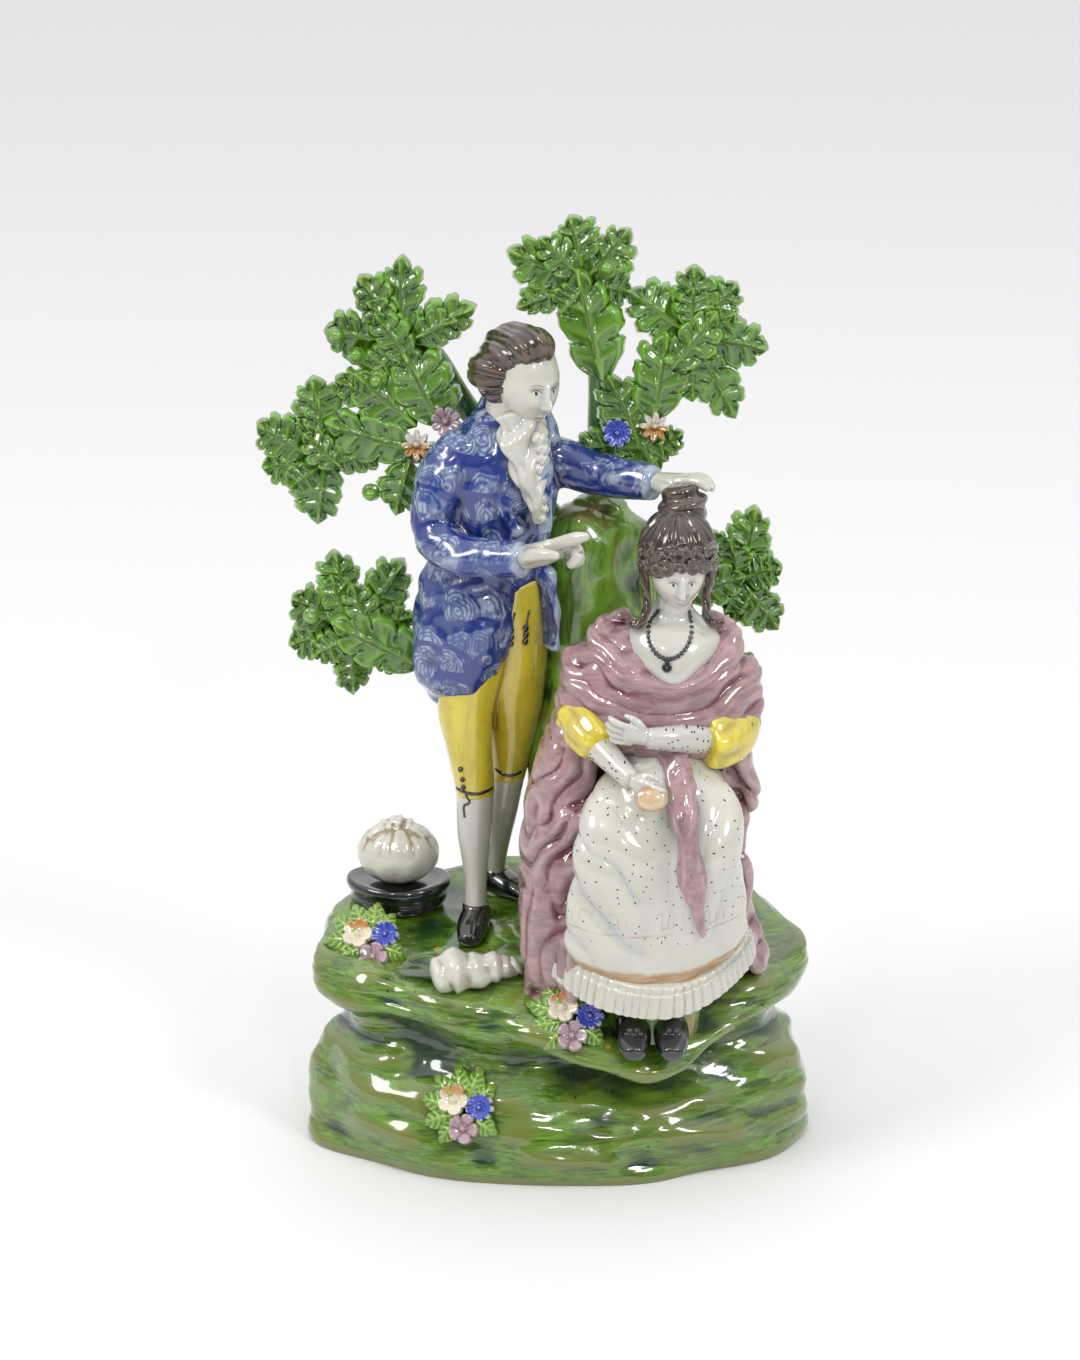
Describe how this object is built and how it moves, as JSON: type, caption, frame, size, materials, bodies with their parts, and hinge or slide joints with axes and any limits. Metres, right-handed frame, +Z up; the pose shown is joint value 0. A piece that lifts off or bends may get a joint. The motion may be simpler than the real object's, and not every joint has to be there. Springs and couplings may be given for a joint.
{
  "type": "bocage figure group",
  "caption": "Glazed pottery group of a standing gentleman and a seated lady before a leafy oak bocage, in one piece with a two-tier rocky base.",
  "frame": {"origin": "on the table under the middle of the base's flat underside", "axes": "+Z up, the viewer on the -Y side, +X to the viewer's right"},
  "size_m": [0.1242, 0.0762, 0.2032],
  "materials": {
    "green_glaze": "glossy brushed lead glaze",
    "pale_glaze": "glossy clear glaze over a pale body",
    "blue_glaze": "glossy glaze over brushed blue",
    "yellow_glaze": "glossy enamel",
    "rose_glaze": "glossy brushed enamel",
    "brown_glaze": "glossy brushed enamel",
    "black_glaze": "glossy enamel"
  },
  "bodies": {
    "root": {"bocage_figure_group": "green_glaze"}
  },
  "joints": []
}
